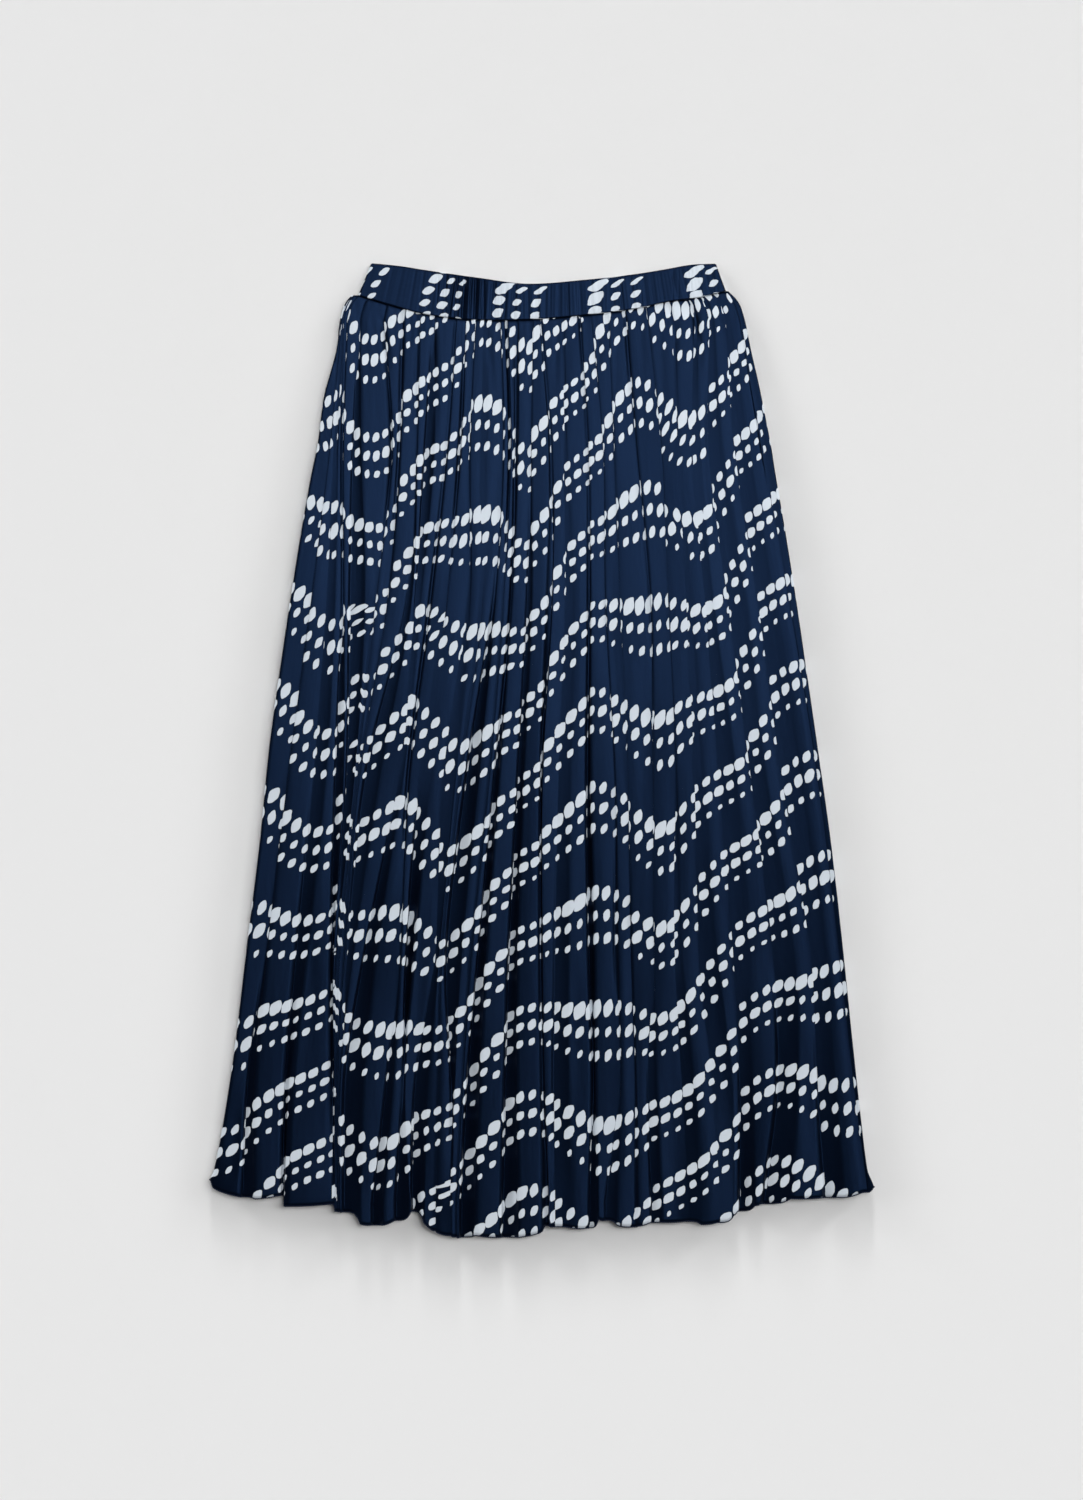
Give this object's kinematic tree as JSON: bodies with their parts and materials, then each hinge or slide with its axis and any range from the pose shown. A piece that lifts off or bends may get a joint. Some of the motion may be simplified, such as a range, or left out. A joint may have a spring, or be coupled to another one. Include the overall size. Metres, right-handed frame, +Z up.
{
  "type": "pleated midi skirt",
  "caption": "Pleated midi skirt with a gathered elastic waistband, laid flat with its front up; the hem flares and follows the pleats.",
  "frame": {"origin": "on the surface that the skirt rests on, under the middle of its bounding box", "axes": "+X across the skirt, +Y from the hem to the waist, +Z up out of its front"},
  "size_m": [0.5723, 0.8404, 0.0126],
  "materials": {
    "printed_satin": "navy satin with strings of off-white dots, soft gloss",
    "band_satin": "navy satin with off-white dots, gathered over elastic"
  },
  "bodies": {
    "root": {"front_panel": "printed_satin", "back_panel": "printed_satin", "waistband_front": "band_satin", "waistband_back": "band_satin"}
  },
  "joints": []
}
